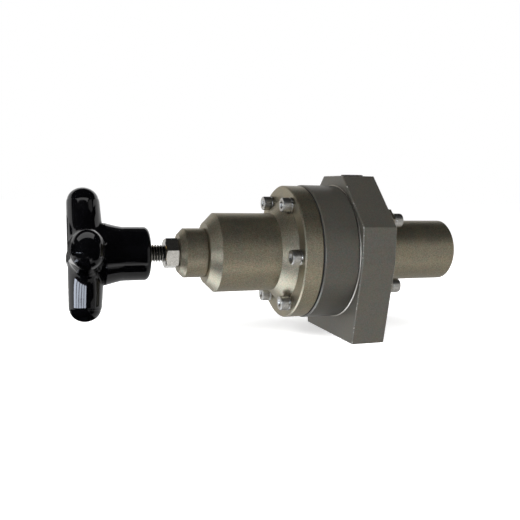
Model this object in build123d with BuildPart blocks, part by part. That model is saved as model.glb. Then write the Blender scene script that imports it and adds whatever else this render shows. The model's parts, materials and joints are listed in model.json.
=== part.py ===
from build123d import *
from math import cos, pi, radians, sin
import os

# Spring-loaded diaphragm pressure regulator, in millimetres. The valve axis runs along X: the knob is at -X,
# the rear cap at +X. The origin is the centre of the outlet port's mouth, on the base face of the port plate.

# Port plate, an eight-sided block: upright sides, cut at 45 degrees above them and tapered below them
plate_thickness = 17.4
plate_height = 80.4
plate_top_width = 22.0
plate_shoulder_width = 69.6
plate_taper_height = 39.5
plate_base_width = 53.5
plate_edge_break = 0.4
axis_height = 42.5

# Turned body, flange and spring housing, stacked in front of the plate
body_diameter = 66.0
body_length = 17.7
body_front_bevel = 0.55
body_back_bevel = 0.8
flange_diameter = 65.0
flange_thickness = 9.2
flange_bevel = 0.6
shoulder_diameter = 50.0
housing_diameter = 37.9
housing_length = 33.15
housing_nose_bevel = 4.5
housing_front_wall = 10.0
spring_bore_diameter = 28.0
neck_diameter = 23.3
neck_length = 12.6
neck_bevel = 2.5
neck_shank_diameter = 18.0
neck_shank_length = 9.2
neck_seat_bevel = 0.5

# Adjusting screw, lock nut and knob
screw_diameter = 8.0
screw_point_diameter = 5.8
screw_point_length = 3.0
screw_point_bevel = 0.8
nut_across_flats = 13.0
nut_height = 6.5
nut_angle = 45.5
nut_face_share = 0.95
nut_corner_angle = 30.0
exposed_screw = 7.25
knob_diameter = 60.5
knob_length = 35.9
knob_angle = -11.0
lobe_count = 4
lobe_tip_axial = 14.2
lobe_tip_width = 17.0
lobe_root_axial = 16.2
lobe_root_width = 18.9
lobe_dome_height = 5.2
lobe_root_radius = 4.0
hub_diameter = 24.7
hub_straight_length = 12.2
hub_end_round = 2.4
hub_flare_diameter = 28.4
knob_face_diameter = 17.0
knob_face_drop = 2.6
insert_diameter = 12.0
insert_length = 15.0
insert_end_wall = 0.45

# Springs and the discs that carry them
seat_disc_thickness = 4.0
upper_seat_setback = 1.7
seat_spigot_length = 3.0
point_socket_depth = 1.5
range_wire_diameter = 3.4
range_spring_diameter = 25.0
range_spring_turns = 5.0
return_wire_diameter = 1.3
return_spring_diameter = 10.6
return_spring_turns = 6.0

# Diaphragm and the chambers on its two sides
diaphragm_thickness = 0.4
diaphragm_edge_setback = 0.3
chamber_diameter = 44.0
spring_chamber_depth = 5.0
sensing_chamber_depth = 4.5
lower_seat_diameter = 38.0
lower_seat_thickness = 3.0
pressure_plate_diameter = 24.0
pressure_plate_thickness = 2.0
pressure_stud_diameter = 6.0
pressure_stud_length = 5.0

# Valve seat, poppet and their guides
outlet_cavity_diameter = 18.0
inlet_cavity_diameter = 20.0
seat_web_thickness = 2.0
seat_shank_diameter = 12.0
seat_flange_diameter = 16.0
seat_flange_thickness = 3.0
seat_nose_diameter = 9.0
seat_nose_length = 1.2
seat_orifice_diameter = 6.0
poppet_diameter = 12.0
poppet_head_length = 5.0
stem_diameter = 3.0
shank_diameter = 6.0
soft_seat_diameter = 10.4
soft_seat_thickness = 1.4
soft_seat_proud = 0.2
stem_guide_diameter = 10.0
sense_hole_diameter = 2.4
guide_bush_thickness = 6.0
guide_bush_setback = 27.3

# Rear cap with its bolting flange
cap_diameter = 30.9
cap_length = 46.55
cap_flange_width = 40.5
cap_flange_height = 43.5
cap_flange_thickness = 7.5
cap_flange_corner = 4.5
cap_end_bevel = 0.7
cap_root_round = 0.8
cap_tail_diameter = 10.0
cap_tail_depth = 6.0

# Fasteners: M4 socket head screws on split washers
bolt_diameter = 4.0
bolt_head_diameter = 7.0
bolt_head_height = 4.0
bolt_head_bevel = 0.35
bolt_socket_across_flats = 3.0
bolt_socket_depth = 2.0
washer_diameter = 7.3
washer_thickness = 1.2
washer_gap = 0.6
spot_face_diameter = 8.4
bonnet_bolt_count = 6
bonnet_bolt_margin = 5.5
bonnet_bolt_length = 20.0
cap_bolt_side_margin = 3.95
cap_bolt_top_margin = 5.45
cap_bolt_length = 35.0
tapped_hole_spare = 1.0

# Ports and base holes
port_bore_diameter = 11.8
port_depth = 12.0
port_passage_diameter = 4.5
passage_offset = 3.4
top_port_diameter = 8.8
top_port_depth = 9.0
top_port_offset = 2.0
top_passage_diameter = 4.0
top_spot_face_depth = 0.4
plug_collar_diameter = 10.9
plug_collar_thickness = 0.6
plug_length = 7.0
plug_socket_across_flats = 5.0
plug_socket_depth = 4.0
plug_washer_thickness = 0.5
base_hole_spacing = 40.0
base_hole_diameter = 4.2
base_hole_depth = 12.0

# Seal rings
seal_cord_diameter = 1.5
seal_groove_width = 2.0
seal_ring_diameter = 26.0

# Clearances, all radial
running_clearance = 0.05
fitted_clearance = 0.05
loose_clearance = 0.3
bolt_clearance = 0.25

# Stations along the valve axis
plate_front = -plate_thickness / 2
plate_back = plate_thickness / 2
body_front = plate_front - body_length
flange_back = body_front - diaphragm_thickness
flange_front = flange_back - flange_thickness
shoulder_front = flange_front - (shoulder_diameter - housing_diameter) / 2
housing_front = shoulder_front - housing_length
housing_inner_front = housing_front + housing_front_wall
neck_front = housing_front - neck_length
nut_front = neck_front - nut_height
hub_end = nut_front - exposed_screw
knob_face = hub_end - knob_length
insert_front = hub_end - insert_length
upper_seat_front = housing_inner_front + upper_seat_setback
upper_seat_back = upper_seat_front + seat_disc_thickness
screw_tip = upper_seat_front + point_socket_depth
screw_end = insert_front + insert_end_wall
lower_seat_front = flange_back - lower_seat_thickness
sensing_chamber_floor = body_front + sensing_chamber_depth
pressure_plate_back = body_front + pressure_plate_thickness
web_front = -seat_web_thickness / 2
web_back = seat_web_thickness / 2
seat_lip = web_back + seat_nose_length
poppet_front = seat_lip + soft_seat_proud
poppet_back = poppet_front + poppet_head_length
cap_flange_back = plate_back + cap_flange_thickness
cap_end = plate_back + cap_length
guide_bush_front = plate_back + guide_bush_setback
guide_bush_back = guide_bush_front + guide_bush_thickness

# Spring mean radii and the spigots that fit inside the coils
range_coil_radius = (range_spring_diameter - range_wire_diameter) / 2
return_coil_radius = (return_spring_diameter - return_wire_diameter) / 2
spigot_radius = range_coil_radius - range_wire_diameter / 2 - 2 * loose_clearance

# The valve axis, its section plane and the corners of the port plate's outline
valve_axis = Axis((0, 0, axis_height), (1, 0, 0))
axial_section = Plane(origin=(0, 0, axis_height), x_dir=(1, 0, 0), z_dir=(0, -1, 0))
plate_shoulder_height = plate_height - (plate_shoulder_width - plate_top_width) / 2
plate_outline = [
    (-plate_base_width / 2, -axis_height),
    (plate_base_width / 2, -axis_height),
    (plate_shoulder_width / 2, plate_taper_height - axis_height),
    (plate_shoulder_width / 2, plate_shoulder_height - axis_height),
    (plate_top_width / 2, plate_height - axis_height),
    (-plate_top_width / 2, plate_height - axis_height),
    (-plate_shoulder_width / 2, plate_shoulder_height - axis_height),
    (-plate_shoulder_width / 2, plate_taper_height - axis_height),
]


def across(station):
    """Plane square to the valve axis, facing the rear cap, with Y to its right and Z up."""
    return Plane(origin=(station, 0, axis_height), x_dir=(0, 1, 0), z_dir=(1, 0, 0))


def half_section(*points):
    """Half section of a turned piece, its corners given along and away from the valve axis."""
    with BuildSketch(axial_section) as section:
        with BuildLine():
            Polyline(*points, close=True)
        make_face()
    return section.sketch


def save(builder, name):
    """Label a finished piece and write it to its own file."""
    builder.part.label = name
    export_step(builder.part, f"parts/{name}.step")


def bolt_group(seat, direction, places, length):
    """Socket head screws whose heads sit at a station and whose shanks run in a direction along the axis."""
    with BuildPart() as group:
        with BuildSketch(across(seat)):
            with places:
                Circle(bolt_head_diameter / 2)
        extrude(amount=-direction * bolt_head_height)
        head_face = seat - direction * bolt_head_height
        head_rims = group.edges().group_by(Axis.X)[0 if direction > 0 else -1]
        chamfer(head_rims, length=bolt_head_bevel)
        with BuildSketch(across(head_face)):
            with places:
                RegularPolygon(bolt_socket_across_flats / 2, 6, major_radius=False)
        extrude(amount=direction * bolt_socket_depth, mode=Mode.SUBTRACT)
        with BuildSketch(across(seat)):
            with places:
                Circle(bolt_diameter / 2)
        extrude(amount=direction * length)
    return group


def washer_group(seat, direction, places):
    """Split washers that lie on a face and are open towards the outside of the pattern."""
    ring_middle = (washer_diameter + bolt_diameter) / 4
    with BuildPart() as group:
        with BuildSketch(across(seat)):
            with places:
                Circle(washer_diameter / 2)
                Circle(bolt_diameter / 2 + bolt_clearance, mode=Mode.SUBTRACT)
                with Locations((ring_middle, 0)):
                    Rectangle(washer_diameter / 2, washer_gap, mode=Mode.SUBTRACT)
        extrude(amount=direction * washer_thickness)
    return group


def coil_spring(start, end, coil_radius, wire_diameter, turns):
    """Compression spring between two stations, its end coils ground flat."""
    free_length = end - start
    pitch = free_length / turns
    with BuildPart() as spring:
        with BuildLine() as path:
            Helix(pitch, free_length, coil_radius, center=(start, 0, axis_height), direction=(1, 0, 0))
        with BuildSketch(Plane(origin=path.line @ 0, z_dir=path.line % 0)):
            Circle(wire_diameter / 2)
        sweep(is_frenet=True)
        with BuildSketch(across(start)):
            Circle(coil_radius + wire_diameter)
        extrude(amount=free_length, mode=Mode.INTERSECT)
    return spring


def seal_ring(station):
    """Seal ring squeezed flat into a groove whose mouth is at a station."""
    with BuildPart() as ring:
        with BuildSketch(axial_section):
            with Locations((station, seal_ring_diameter / 2)):
                Circle(seal_cord_diameter / 2)
        revolve(axis=valve_axis)
    return ring


def seal_groove(mouth):
    """Outline of a seal ring's face groove at its mouth."""
    with BuildSketch(across(mouth)) as groove:
        Circle((seal_ring_diameter + seal_groove_width) / 2)
        Circle((seal_ring_diameter - seal_groove_width) / 2, mode=Mode.SUBTRACT)
    return groove.sketch


os.makedirs("parts", exist_ok=True)
bonnet_bolt_radius = flange_diameter / 2 - bonnet_bolt_margin
bonnet_bolt_places = PolarLocations(bonnet_bolt_radius, bonnet_bolt_count)
cap_bolt_row = cap_flange_width - 2 * cap_bolt_side_margin
cap_bolt_column = cap_flange_height - 2 * cap_bolt_top_margin
cap_bolt_places = GridLocations(cap_bolt_row, cap_bolt_column, 2, 2)

# Port plate
side_port_height = (plate_taper_height + plate_shoulder_height) / 2
side_reach = plate_shoulder_width / 2
side_face = Plane(origin=(0, side_reach, side_port_height), x_dir=(1, 0, 0), z_dir=(0, 1, 0))
base_face = Plane(origin=(0, 0, 0), x_dir=(1, 0, 0), z_dir=(0, 0, -1))
top_face = Plane(origin=(0, 0, plate_height), x_dir=(1, 0, 0), z_dir=(0, 0, 1))

with BuildPart() as port_plate:
    with BuildSketch(across(plate_front)):
        with BuildLine():
            Polyline(*plate_outline, close=True)
        make_face()
    extrude(amount=plate_thickness)
    chamfer(port_plate.faces().filter_by(Axis.X).edges(), length=plate_edge_break)
    # Chambers on both sides of the web that carries the valve seat
    with BuildSketch(across(plate_front)):
        Circle(outlet_cavity_diameter / 2)
    extrude(amount=web_front - plate_front, mode=Mode.SUBTRACT)
    with BuildSketch(across(plate_back)):
        Circle(inlet_cavity_diameter / 2)
    extrude(amount=web_back - plate_back, mode=Mode.SUBTRACT)
    with BuildSketch(across(web_front)):
        Circle(seat_shank_diameter / 2 + fitted_clearance)
    extrude(amount=seat_web_thickness, mode=Mode.SUBTRACT)
    # Outlet port in the base, inlet port in the far side, each with a passage to its chamber
    for face, reach, offset in ((base_face, axis_height, -passage_offset), (side_face, side_reach, passage_offset)):
        with BuildSketch(face):
            Circle(port_bore_diameter / 2)
        extrude(amount=-port_depth, mode=Mode.SUBTRACT)
        with BuildSketch(face):
            with Locations((offset, 0)):
                Circle(port_passage_diameter / 2)
        extrude(amount=outlet_cavity_diameter / 4 - reach, mode=Mode.SUBTRACT)
    # Small port on top, with a spot face for the plug's washer
    with BuildSketch(top_face):
        with Locations((top_port_offset, 0)):
            Circle(plug_collar_diameter / 2 + loose_clearance)
    extrude(amount=-top_spot_face_depth, mode=Mode.SUBTRACT)
    with BuildSketch(top_face):
        with Locations((top_port_offset, 0)):
            Circle(top_port_diameter / 2)
    extrude(amount=-top_port_depth, mode=Mode.SUBTRACT)
    with BuildSketch(top_face):
        with Locations((passage_offset, 0)):
            Circle(top_passage_diameter / 2)
    extrude(amount=axis_height + inlet_cavity_diameter / 4 - plate_height, mode=Mode.SUBTRACT)
    # Tapped holes in the base, and clearance holes for the rear cap's screws
    with BuildSketch(base_face):
        with GridLocations(0, base_hole_spacing, 1, 2):
            Circle(base_hole_diameter / 2)
    extrude(amount=-base_hole_depth, mode=Mode.SUBTRACT)
    with BuildSketch(across(plate_front)):
        with cap_bolt_places:
            Circle(bolt_diameter / 2 + bolt_clearance)
    extrude(amount=plate_thickness, mode=Mode.SUBTRACT)
    extrude(seal_groove(plate_front), amount=seal_cord_diameter, mode=Mode.SUBTRACT)
    extrude(seal_groove(plate_back), amount=-seal_cord_diameter, mode=Mode.SUBTRACT)
save(port_plate, "port_plate")

# Round body with the sensing chamber
with BuildPart() as diaphragm_body:
    with BuildSketch(across(body_front)):
        Circle(body_diameter / 2)
    extrude(amount=body_length)
    chamfer(diaphragm_body.edges().sort_by(Axis.X)[0], length=body_front_bevel)
    chamfer(diaphragm_body.edges().sort_by(Axis.X)[-1], length=body_back_bevel)
    with BuildSketch(across(body_front)):
        Circle(chamber_diameter / 2)
    extrude(amount=sensing_chamber_depth, mode=Mode.SUBTRACT)
    with BuildSketch(across(sensing_chamber_floor)):
        Circle(stem_guide_diameter / 2 + fitted_clearance)
        with Locations((0, (stem_guide_diameter + outlet_cavity_diameter) / 4)):
            Circle(sense_hole_diameter / 2)
    extrude(amount=plate_front - sensing_chamber_floor, mode=Mode.SUBTRACT)
    with BuildSketch(across(body_front)):
        with bonnet_bolt_places:
            Circle(bolt_diameter / 2 + fitted_clearance)
    bonnet_bolt_reach = bonnet_bolt_length - washer_thickness - flange_thickness - diaphragm_thickness
    extrude(amount=bonnet_bolt_reach + tapped_hole_spare, mode=Mode.SUBTRACT)
    with BuildSketch(across(plate_front)):
        with cap_bolt_places:
            Circle(bolt_diameter / 2 + fitted_clearance)
    cap_bolt_reach = cap_bolt_length - washer_thickness - cap_flange_thickness - plate_thickness
    extrude(amount=-cap_bolt_reach - tapped_hole_spare, mode=Mode.SUBTRACT)
save(diaphragm_body, "diaphragm_body")

# Brass guide for the valve stem
with BuildPart() as stem_guide:
    with BuildSketch(across(sensing_chamber_floor)):
        Circle(stem_guide_diameter / 2)
        Circle(stem_diameter / 2 + running_clearance, mode=Mode.SUBTRACT)
    extrude(amount=plate_front - sensing_chamber_floor)
save(stem_guide, "stem_guide")

# Diaphragm, a flat sheet with a hole for each screw and for the stud
with BuildPart() as diaphragm:
    with BuildSketch(across(flange_back)):
        Circle(flange_diameter / 2 - diaphragm_edge_setback)
        Circle(pressure_stud_diameter / 2 + fitted_clearance, mode=Mode.SUBTRACT)
        with bonnet_bolt_places:
            Circle(bolt_diameter / 2 + bolt_clearance, mode=Mode.SUBTRACT)
    extrude(amount=diaphragm_thickness)
save(diaphragm, "diaphragm")

# Pressure plate on the gas side of the diaphragm, with its stud
with BuildPart() as pressure_plate:
    with BuildSketch(across(body_front)):
        Circle(pressure_plate_diameter / 2)
    extrude(amount=pressure_plate_thickness)
    with BuildSketch(across(body_front)):
        Circle(pressure_stud_diameter / 2)
    extrude(amount=-pressure_stud_length)
save(pressure_plate, "pressure_plate")

# Lower spring seat, with a spigot in the spring and a hole for the stud
with BuildPart() as lower_spring_seat:
    with BuildSketch(across(flange_back)):
        Circle(lower_seat_diameter / 2)
    extrude(amount=-lower_seat_thickness)
    with BuildSketch(across(lower_seat_front)):
        Circle(spigot_radius)
    extrude(amount=-seat_spigot_length)
    with BuildSketch(across(flange_back)):
        Circle(pressure_stud_diameter / 2 + fitted_clearance)
    extrude(amount=-pressure_stud_length, mode=Mode.SUBTRACT)
save(lower_spring_seat, "lower_spring_seat")

# Spring bonnet: housing, 45 degree shoulder and bolting flange turned in one piece
with BuildPart() as spring_bonnet:
    revolve(half_section(
        (housing_front, 0),
        (housing_front, housing_diameter / 2 - housing_nose_bevel),
        (housing_front + housing_nose_bevel, housing_diameter / 2),
        (shoulder_front, housing_diameter / 2),
        (flange_front, shoulder_diameter / 2),
        (flange_front, flange_diameter / 2 - flange_bevel),
        (flange_front + flange_bevel, flange_diameter / 2),
        (flange_back - flange_bevel, flange_diameter / 2),
        (flange_back, flange_diameter / 2 - flange_bevel),
        (flange_back, 0),
    ), axis=valve_axis)
    with BuildSketch(across(housing_inner_front)):
        Circle(spring_bore_diameter / 2)
    extrude(amount=flange_back - housing_inner_front, mode=Mode.SUBTRACT)
    with BuildSketch(across(flange_back)):
        Circle(chamber_diameter / 2)
    extrude(amount=-spring_chamber_depth, mode=Mode.SUBTRACT)
    with BuildSketch(across(housing_front)):
        Circle(neck_shank_diameter / 2 + fitted_clearance)
    extrude(amount=housing_front_wall, mode=Mode.SUBTRACT)
    # Screw holes, and spot faces that bite into the shoulder
    with BuildSketch(across(flange_front)):
        with bonnet_bolt_places:
            Circle(spot_face_diameter / 2)
    extrude(amount=shoulder_front - flange_front, mode=Mode.SUBTRACT)
    with BuildSketch(across(flange_front)):
        with bonnet_bolt_places:
            Circle(bolt_diameter / 2 + bolt_clearance)
    extrude(amount=flange_thickness, mode=Mode.SUBTRACT)
save(spring_bonnet, "spring_bonnet")

# Neck bush, screwed into the housing's front wall
with BuildPart() as neck_bush:
    revolve(half_section(
        (neck_front, screw_diameter / 2 + running_clearance),
        (neck_front, neck_diameter / 2 - neck_bevel),
        (neck_front + neck_bevel, neck_diameter / 2),
        (housing_front - neck_seat_bevel, neck_diameter / 2),
        (housing_front, neck_diameter / 2 - neck_seat_bevel),
        (housing_front, neck_shank_diameter / 2),
        (housing_front + neck_shank_length, neck_shank_diameter / 2),
        (housing_front + neck_shank_length, screw_diameter / 2 + running_clearance),
    ), axis=valve_axis)
save(neck_bush, "neck_bush")

# Lock nut, a hexagon with its corners turned off at both faces
nut_corner_radius = nut_across_flats / 2 / cos(pi / 6)
nut_face_radius = nut_across_flats / 2 * nut_face_share
nut_corner_drop = (nut_corner_radius - nut_face_radius) * sin(radians(nut_corner_angle))
with BuildPart() as lock_nut:
    with BuildSketch(across(nut_front)):
        RegularPolygon(nut_across_flats / 2, 6, major_radius=False, rotation=nut_angle)
    extrude(amount=nut_height)
    with BuildSketch(axial_section):
        with BuildLine():
            Polyline(
                (nut_front, screw_diameter / 2 + running_clearance),
                (nut_front, nut_face_radius),
                (nut_front + nut_corner_drop, nut_corner_radius),
                (neck_front - nut_corner_drop, nut_corner_radius),
                (neck_front, nut_face_radius),
                (neck_front, screw_diameter / 2 + running_clearance),
                close=True,
            )
        make_face()
    revolve(axis=valve_axis, mode=Mode.INTERSECT)
save(lock_nut, "lock_nut")

# Adjusting screw, with a plain point that turns in the upper spring seat
with BuildPart() as adjusting_screw:
    revolve(half_section(
        (screw_end, 0),
        (screw_end, screw_diameter / 2),
        (screw_tip - screw_point_length - screw_point_bevel, screw_diameter / 2),
        (screw_tip - screw_point_length, screw_point_diameter / 2),
        (screw_tip, screw_point_diameter / 2),
        (screw_tip, 0),
    ), axis=valve_axis)
save(adjusting_screw, "adjusting_screw")

# Threaded insert moulded into the knob's hub
with BuildPart() as knob_insert:
    revolve(half_section(
        (insert_front, 0),
        (insert_front, insert_diameter / 2),
        (hub_end, insert_diameter / 2),
        (hub_end, screw_diameter / 2 + fitted_clearance),
        (screw_end, screw_diameter / 2 + fitted_clearance),
        (screw_end, 0),
    ), axis=valve_axis)
save(knob_insert, "knob_insert")

# Cross knob: a turned hub that flares into four tapered lobes with domed tips
lobe_straight_radius = knob_diameter / 2 - lobe_dome_height
lobe_tip_station = knob_face + lobe_tip_axial / 2
lobe_root_station = knob_face + lobe_root_axial / 2
hub_flare_station = knob_face + lobe_root_axial
unit_dome = Sphere(1, arc_size1=0, align=(Align.CENTER, Align.CENTER, Align.MIN))
dome = scale(unit_dome, by=(lobe_tip_axial / 2, lobe_tip_width / 2, lobe_dome_height))


def lobe_plane(angle, station, radius):
    """Plane square to a lobe at a radius from the valve axis, with X along the axis."""
    direction = (0, cos(radians(angle)), sin(radians(angle)))
    origin = (station, radius * direction[1], axis_height + radius * direction[2])
    return Plane(origin=origin, x_dir=(1, 0, 0), z_dir=direction)


with BuildPart() as cross_knob:
    with BuildSketch(axial_section):
        with BuildLine():
            Polyline(
                (hub_flare_station, 0),
                (hub_end, 0),
                (hub_end, hub_diameter / 2 - hub_end_round),
            )
            RadiusArc((hub_end, hub_diameter / 2 - hub_end_round), (hub_end - hub_end_round, hub_diameter / 2),
                      hub_end_round)
            Line((hub_end - hub_end_round, hub_diameter / 2), (hub_end - hub_straight_length, hub_diameter / 2))
            Spline(
                (hub_end - hub_straight_length, hub_diameter / 2),
                (hub_flare_station, hub_flare_diameter / 2),
                tangents=((-1, 0), (-1, 0.5)),
            )
            Line((hub_flare_station, hub_flare_diameter / 2), (hub_flare_station, 0))
        make_face()
    revolve(axis=valve_axis)
    with BuildSketch(axial_section):
        with BuildLine():
            Line((knob_face, 0), (hub_flare_station, 0))
            Line((hub_flare_station, 0), (hub_flare_station, hub_flare_diameter / 2))
            Line((hub_flare_station, hub_flare_diameter / 2), (knob_face + knob_face_drop, hub_flare_diameter / 2))
            Spline(
                (knob_face + knob_face_drop, hub_flare_diameter / 2),
                (knob_face, knob_face_diameter / 2),
                tangents=((-1, 0), (0, -1)),
            )
            Line((knob_face, knob_face_diameter / 2), (knob_face, 0))
        make_face()
    revolve(axis=valve_axis)
    for lobe in range(lobe_count):
        lobe_angle = knob_angle + lobe * 360 / lobe_count
        tip_plane = lobe_plane(lobe_angle, lobe_tip_station, lobe_straight_radius)
        with BuildSketch(lobe_plane(lobe_angle, lobe_root_station, lobe_root_radius)):
            Ellipse(lobe_root_axial / 2, lobe_root_width / 2)
        with BuildSketch(tip_plane):
            Ellipse(lobe_tip_axial / 2, lobe_tip_width / 2)
        loft()
        add(tip_plane.location * dome)
    with BuildSketch(across(hub_end)):
        Circle(insert_diameter / 2 + fitted_clearance)
    extrude(amount=-insert_length, mode=Mode.SUBTRACT)
save(cross_knob, "cross_knob")

# Upper spring seat, pushed along the bore by the screw's point
with BuildPart() as upper_spring_seat:
    with BuildSketch(across(upper_seat_front)):
        Circle(spring_bore_diameter / 2 - loose_clearance)
    extrude(amount=seat_disc_thickness)
    with BuildSketch(across(upper_seat_back)):
        Circle(spigot_radius)
    extrude(amount=seat_spigot_length)
    with BuildSketch(across(upper_seat_front)):
        Circle(screw_point_diameter / 2 + running_clearance)
    extrude(amount=point_socket_depth, mode=Mode.SUBTRACT)
save(upper_spring_seat, "upper_spring_seat")

# Range spring between the two seats
range_spring = coil_spring(upper_seat_back, lower_seat_front, range_coil_radius, range_wire_diameter,
                           range_spring_turns)
save(range_spring, "range_spring")

# Valve seat, screwed through the web of the port plate
with BuildPart() as valve_seat:
    revolve(half_section(
        (web_front - seat_flange_thickness, seat_orifice_diameter / 2),
        (web_front - seat_flange_thickness, seat_flange_diameter / 2),
        (web_front, seat_flange_diameter / 2),
        (web_front, seat_shank_diameter / 2),
        (web_back, seat_shank_diameter / 2),
        (web_back, seat_nose_diameter / 2),
        (seat_lip, (seat_nose_diameter + seat_orifice_diameter) / 4),
        (seat_lip, seat_orifice_diameter / 2),
    ), axis=valve_axis)
save(valve_seat, "valve_seat")

# Poppet with its stem towards the diaphragm and its shank towards the rear cap
soft_seat_back = seat_lip + soft_seat_thickness
soft_seat_bore = stem_diameter / 2 + fitted_clearance
shank_end = guide_bush_back - running_clearance
with BuildPart() as poppet:
    revolve(half_section(
        (pressure_plate_back, 0),
        (pressure_plate_back, stem_diameter / 2),
        (soft_seat_back, stem_diameter / 2),
        (soft_seat_back, soft_seat_diameter / 2),
        (poppet_front, soft_seat_diameter / 2),
        (poppet_front, poppet_diameter / 2),
        (poppet_back, poppet_diameter / 2),
        (poppet_back, shank_diameter / 2),
        (shank_end, shank_diameter / 2),
        (shank_end, 0),
    ), axis=valve_axis)
save(poppet, "poppet")

# Soft seat ring in the poppet's face
with BuildPart() as soft_seat:
    revolve(half_section(
        (seat_lip, soft_seat_bore),
        (seat_lip, soft_seat_diameter / 2 - fitted_clearance),
        (soft_seat_back, soft_seat_diameter / 2 - fitted_clearance),
        (soft_seat_back, soft_seat_bore),
    ), axis=valve_axis)
save(soft_seat, "soft_seat")

# Guide bush deep in the rear cap, which also carries the return spring
with BuildPart() as guide_bush:
    with BuildSketch(across(guide_bush_front)):
        Circle(inlet_cavity_diameter / 2 - fitted_clearance)
        Circle(shank_diameter / 2 + running_clearance, mode=Mode.SUBTRACT)
    extrude(amount=guide_bush_thickness)
save(guide_bush, "guide_bush")

# Return spring behind the poppet
return_spring = coil_spring(poppet_back, guide_bush_front, return_coil_radius, return_wire_diameter,
                            return_spring_turns)
save(return_spring, "return_spring")

# Rear cap with its square flange and blind bore
with BuildPart() as rear_cap:
    with BuildSketch(across(plate_back)) as flange_outline:
        Rectangle(cap_flange_width, cap_flange_height)
        chamfer(flange_outline.vertices(), length=cap_flange_corner)
    extrude(amount=cap_flange_thickness)
    with BuildSketch(across(cap_flange_back)):
        Circle(cap_diameter / 2)
    extrude(amount=cap_end - cap_flange_back)
    chamfer(rear_cap.edges().sort_by(Axis.X)[-1], length=cap_end_bevel)
    fillet(rear_cap.edges().filter_by(GeomType.CIRCLE).sort_by(Axis.X)[0], radius=cap_root_round)
    with BuildSketch(across(plate_back)):
        Circle(inlet_cavity_diameter / 2)
    extrude(amount=guide_bush_back - plate_back, mode=Mode.SUBTRACT)
    with BuildSketch(across(guide_bush_back)):
        Circle(cap_tail_diameter / 2)
    extrude(amount=cap_tail_depth, mode=Mode.SUBTRACT)
    with BuildSketch(across(plate_back)):
        with cap_bolt_places:
            Circle(bolt_diameter / 2 + bolt_clearance)
    extrude(amount=cap_flange_thickness, mode=Mode.SUBTRACT)
save(rear_cap, "rear_cap")

# Seal rings in the plate's two grooves
body_o_ring = seal_ring(plate_front + seal_cord_diameter / 2)
save(body_o_ring, "body_o_ring")
cap_o_ring = seal_ring(plate_back - seal_cord_diameter / 2)
save(cap_o_ring, "cap_o_ring")

# Plug and washer in the small top port
with BuildPart() as plug_washer:
    with BuildSketch(top_face.offset(-top_spot_face_depth)):
        with Locations((top_port_offset, 0)):
            Circle(plug_collar_diameter / 2)
            Circle(top_port_diameter / 2, mode=Mode.SUBTRACT)
    extrude(amount=plug_washer_thickness)
save(plug_washer, "plug_washer")

collar_seat = plug_washer_thickness - top_spot_face_depth
with BuildPart() as port_plug:
    with BuildSketch(top_face.offset(collar_seat)):
        with Locations((top_port_offset, 0)):
            Circle(plug_collar_diameter / 2)
    extrude(amount=plug_collar_thickness)
    with BuildSketch(top_face.offset(collar_seat)):
        with Locations((top_port_offset, 0)):
            Circle(top_port_diameter / 2 - fitted_clearance)
    extrude(amount=-plug_length)
    with BuildSketch(top_face.offset(collar_seat + plug_collar_thickness)):
        with Locations((top_port_offset, 0)):
            RegularPolygon(plug_socket_across_flats / 2, 6, major_radius=False)
    extrude(amount=-plug_socket_depth, mode=Mode.SUBTRACT)
save(port_plug, "port_plug")

# Screws and split washers on the flange and on the rear cap
save(washer_group(flange_front, -1, bonnet_bolt_places), "bonnet_lock_washers")
save(bolt_group(flange_front - washer_thickness, 1, bonnet_bolt_places, bonnet_bolt_length), "bonnet_screws")
save(washer_group(cap_flange_back, 1, cap_bolt_places), "cap_lock_washers")
save(bolt_group(cap_flange_back + washer_thickness, -1, cap_bolt_places, cap_bolt_length), "cap_screws")
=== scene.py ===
import json
import math

import bmesh
import bpy
import numpy as np
from bpy.props import FloatProperty, FloatVectorProperty, IntProperty, PointerProperty
from bpy.types import Operator, Panel, PropertyGroup
from mathutils import Euler, Matrix, Vector


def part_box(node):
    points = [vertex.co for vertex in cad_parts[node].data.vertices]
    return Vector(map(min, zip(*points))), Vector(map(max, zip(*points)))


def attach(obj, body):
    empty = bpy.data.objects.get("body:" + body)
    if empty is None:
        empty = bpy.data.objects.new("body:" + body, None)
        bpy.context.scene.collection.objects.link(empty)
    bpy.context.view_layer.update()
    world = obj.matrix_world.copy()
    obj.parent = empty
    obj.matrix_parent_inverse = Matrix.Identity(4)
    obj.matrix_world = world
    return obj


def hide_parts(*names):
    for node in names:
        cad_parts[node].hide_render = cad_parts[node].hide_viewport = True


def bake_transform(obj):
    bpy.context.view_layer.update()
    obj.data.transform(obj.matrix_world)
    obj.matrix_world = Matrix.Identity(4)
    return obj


bl_info = {
    "name": "Pressure regulator valve",
    "version": (1, 0, 0),
    "blender": (4, 5, 0),
    "location": "View3D > Sidebar > Regulator",
    "description": "Moulded knob, threads, knurled screws and finishes of the pressure regulator",
    "category": "Object",
}

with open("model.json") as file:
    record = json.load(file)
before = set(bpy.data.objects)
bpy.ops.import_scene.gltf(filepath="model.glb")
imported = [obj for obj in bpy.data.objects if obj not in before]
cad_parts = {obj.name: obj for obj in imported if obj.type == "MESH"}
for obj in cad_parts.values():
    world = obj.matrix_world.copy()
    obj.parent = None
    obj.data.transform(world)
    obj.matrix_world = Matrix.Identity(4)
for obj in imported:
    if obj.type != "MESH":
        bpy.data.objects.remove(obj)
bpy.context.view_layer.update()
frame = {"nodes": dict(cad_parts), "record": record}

MM = 0.001

# Stations and sizes that come from the packed solids, in metres
screw_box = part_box("adjusting_screw")
knob_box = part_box("cross_knob")
axis_height = (screw_box[0].z + screw_box[1].z) / 2
knob_face = knob_box[0].x
hub_end = knob_box[1].x
axis_line = (0.0, axis_height)

# Angles between faces above which an edge stays hard
SHARP_EDGE = math.radians(32.0)
THREAD_EDGE = math.radians(40.0)
ROUND_EDGE = math.radians(50.0)


# Properties that a user would change

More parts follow.
